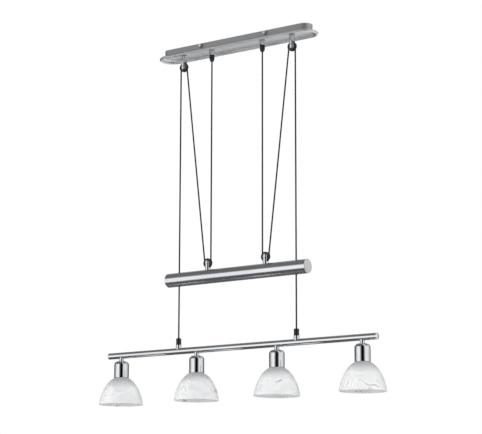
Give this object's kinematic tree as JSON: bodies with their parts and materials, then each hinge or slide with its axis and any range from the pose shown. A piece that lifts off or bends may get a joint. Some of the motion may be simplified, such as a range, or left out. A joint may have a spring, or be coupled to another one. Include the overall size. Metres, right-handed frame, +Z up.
{
  "type": "rise and fall pendant",
  "caption": "Ceiling pendant with four glass shades on a bar that rises and falls on two cables over pulleys, balanced by a tubular counterweight",
  "frame": {"origin": "middle of the ceiling face", "axes": "+Z up, out of the ceiling face; X along the lamp bar; Y across it"},
  "size_m": [0.826, 0.112, 0.909],
  "materials": {
    "cable": "satin",
    "shade_glass": "satin",
    "holder_plastic": "gloss",
    "terminal_plastic": "satin",
    "wheel_plastic": "satin",
    "gland_plastic": "gloss",
    "guide_plastic": "satin",
    "zinc_steel": "satin",
    "canopy_nickel": "satin",
    "satin_nickel": "satin",
    "chrome": "polished"
  },
  "bodies": {
    "root": {"cable_left_canopy_bend": "cable", "cable_left_diagonal_run": "cable", "cable_left_inner_run": "cable", "cable_left_lamp_run": "cable", "cable_right_canopy_bend": "cable", "cable_right_diagonal_run": "cable", "cable_right_inner_run": "cable", "cable_right_lamp_run": "cable", "canopy_gland_body_left": "gland_plastic", "canopy_gland_body_right": "gland_plastic", "canopy_gland_ferrule_left": "chrome", "canopy_gland_ferrule_right": "chrome", "canopy_housing": "canopy_nickel", "canopy_plate": "canopy_nickel", "canopy_post_left": "chrome", "canopy_post_right": "chrome", "canopy_side_screws": "chrome", "canopy_wheel_axles": "chrome", "ceiling_bracket": "zinc_steel", "gland_nuts": "zinc_steel", "pulley_post_nuts": "zinc_steel", "terminal_block": "terminal_plastic"},
    "counterweight": {"ballast_bar": "zinc_steel", "cable_left_counterweight_bend": "cable", "cable_right_counterweight_bend": "cable", "counterweight_cap_left": "satin_nickel", "counterweight_cap_right": "satin_nickel", "counterweight_guide_left": "guide_plastic", "counterweight_guide_right": "guide_plastic", "counterweight_post_left": "chrome", "counterweight_post_right": "chrome", "counterweight_tube": "satin_nickel", "counterweight_wheel_axles": "chrome"},
    "lamp_bar": {"glass_shade_1": "shade_glass", "glass_shade_2": "shade_glass", "glass_shade_3": "shade_glass", "glass_shade_4": "shade_glass", "lamp_bar_cap_left": "satin_nickel", "lamp_bar_cap_right": "satin_nickel", "lamp_bar_tube": "satin_nickel", "lamp_cup_1": "chrome", "lamp_cup_2": "chrome", "lamp_cup_3": "chrome", "lamp_cup_4": "chrome", "lamp_gland_body_left": "gland_plastic", "lamp_gland_body_right": "gland_plastic", "lamp_gland_foot_left": "chrome", "lamp_gland_foot_right": "chrome", "lamp_necks": "chrome", "lampholder_1": "holder_plastic", "lampholder_2": "holder_plastic", "lampholder_3": "holder_plastic", "lampholder_4": "holder_plastic", "shade_rings": "holder_plastic"},
    "canopy_pulley_left": {"canopy_wheel_left": "wheel_plastic"},
    "canopy_pulley_right": {"canopy_wheel_right": "wheel_plastic"},
    "counterweight_pulley_left": {"counterweight_wheel_left": "wheel_plastic"},
    "counterweight_pulley_right": {"counterweight_wheel_right": "wheel_plastic"}
  },
  "joints": [
    {"name": "lamp_slide", "type": "slide", "parent": "root", "child": "lamp_bar", "axis": [0, 0, 1], "range_m": [-0.75, 0.085], "deforming": ["cable_left_lamp_run", "cable_right_lamp_run"]},
    {"name": "counterweight_slide", "type": "slide", "parent": "root", "child": "counterweight", "axis": [0, 0, 1], "range_m": [-0.0425, 0.375], "deforming": ["cable_left_inner_run", "cable_right_inner_run", "cable_left_diagonal_run", "cable_right_diagonal_run"]},
    {"name": "canopy_wheel_turn_left", "type": "hinge", "parent": "root", "child": "canopy_pulley_left", "pos_m": [-0.1661, 0, -0.0486], "axis": [0, 1, 0], "continuous": true},
    {"name": "canopy_wheel_turn_right", "type": "hinge", "parent": "root", "child": "canopy_pulley_right", "pos_m": [0.1661, 0, -0.0486], "axis": [0, 1, 0], "continuous": true},
    {"name": "counterweight_wheel_turn_left", "type": "hinge", "parent": "counterweight", "child": "counterweight_pulley_left", "pos_m": [-0.0867, 0, -0.5675], "axis": [0, 1, 0], "continuous": true},
    {"name": "counterweight_wheel_turn_right", "type": "hinge", "parent": "counterweight", "child": "counterweight_pulley_right", "pos_m": [0.0867, 0, -0.5675], "axis": [0, 1, 0], "continuous": true}
  ],
  "couplings": [
    {"joint": "counterweight_slide", "follows": "lamp_slide", "ratio": -0.5},
    {"joint": "canopy_wheel_turn_left", "follows": "lamp_slide", "rad_per_m": 108.7},
    {"joint": "canopy_wheel_turn_right", "follows": "lamp_slide", "rad_per_m": -108.7},
    {"joint": "counterweight_wheel_turn_left", "follows": "lamp_slide", "rad_per_m": -54.348},
    {"joint": "counterweight_wheel_turn_right", "follows": "lamp_slide", "rad_per_m": 54.348}
  ]
}
